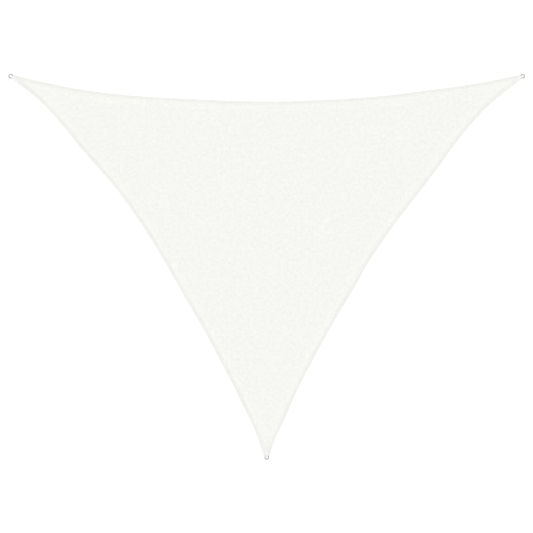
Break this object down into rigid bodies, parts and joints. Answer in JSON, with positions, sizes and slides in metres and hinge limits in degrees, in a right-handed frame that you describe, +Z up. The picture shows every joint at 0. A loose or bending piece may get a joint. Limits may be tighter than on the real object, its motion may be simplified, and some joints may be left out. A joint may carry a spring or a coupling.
{
  "type": "triangular shade sail",
  "caption": "Flat triangular sail of knitted shade cloth with hollow hemmed sides, a webbing strap and a steel D ring at each corner.",
  "frame": {"origin": "on the ground under the middle of the sail's bounding box", "axes": "+X along the long side, +Y from the foot of the triangle towards the long side, +Z up out of the cloth"},
  "size_m": [5.04, 3.7634, 0.0101],
  "materials": {
    "shade_cloth": "matt knitted polyethylene, white",
    "strap_webbing": "woven polyester webbing, white",
    "ring_steel": "polished stainless steel wire"
  },
  "bodies": {
    "root": {"sail_cloth": "shade_cloth", "strap_left": "strap_webbing", "strap_right": "strap_webbing", "strap_foot": "strap_webbing", "ring_left": "ring_steel", "ring_right": "ring_steel", "ring_foot": "ring_steel"}
  },
  "joints": []
}
